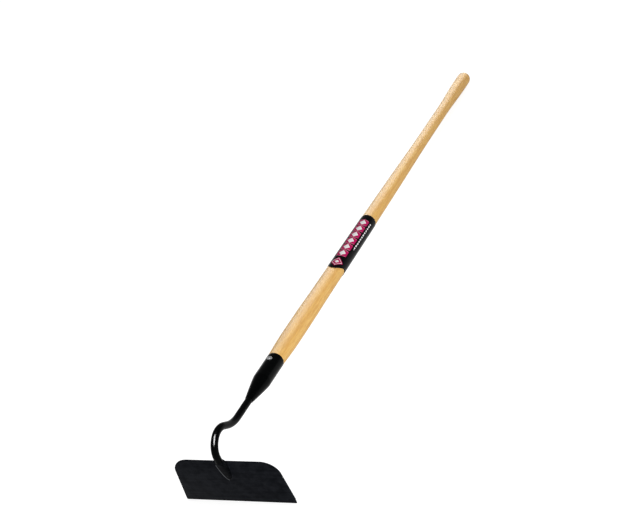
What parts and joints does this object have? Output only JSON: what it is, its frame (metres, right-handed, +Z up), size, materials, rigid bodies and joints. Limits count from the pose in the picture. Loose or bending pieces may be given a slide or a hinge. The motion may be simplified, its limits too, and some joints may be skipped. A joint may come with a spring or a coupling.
{
  "type": "meadow hoe",
  "caption": "Long handled hoe: a wide plate blade welded under a bent steel neck, whose tang is riveted through a ferrule into a turned ash handle with a printed sleeve label.",
  "frame": {"origin": "the point on the ground below the middle of the hoe's bounding box; the hoe lies on its cutting edge and the end of its handle", "axes": "+X across the blade, +Y from the blade towards the end of the handle, +Z up"},
  "size_m": [0.2016, 1.5546, 0.1562],
  "materials": {
    "black_paint": "gloss black paint on steel",
    "blade_paint": "satin black paint on steel",
    "bright_steel": "bare upset steel",
    "ash_wood": "clear lacquer on turned ash",
    "printed_card": "printed card with a satin film"
  },
  "bodies": {
    "root": {"blade": "blade_paint", "neck": "black_paint", "weld_bead": "blade_paint", "ferrule": "black_paint", "handle": "ash_wood", "rivet": "bright_steel", "label_sleeve": "printed_card"}
  },
  "joints": []
}
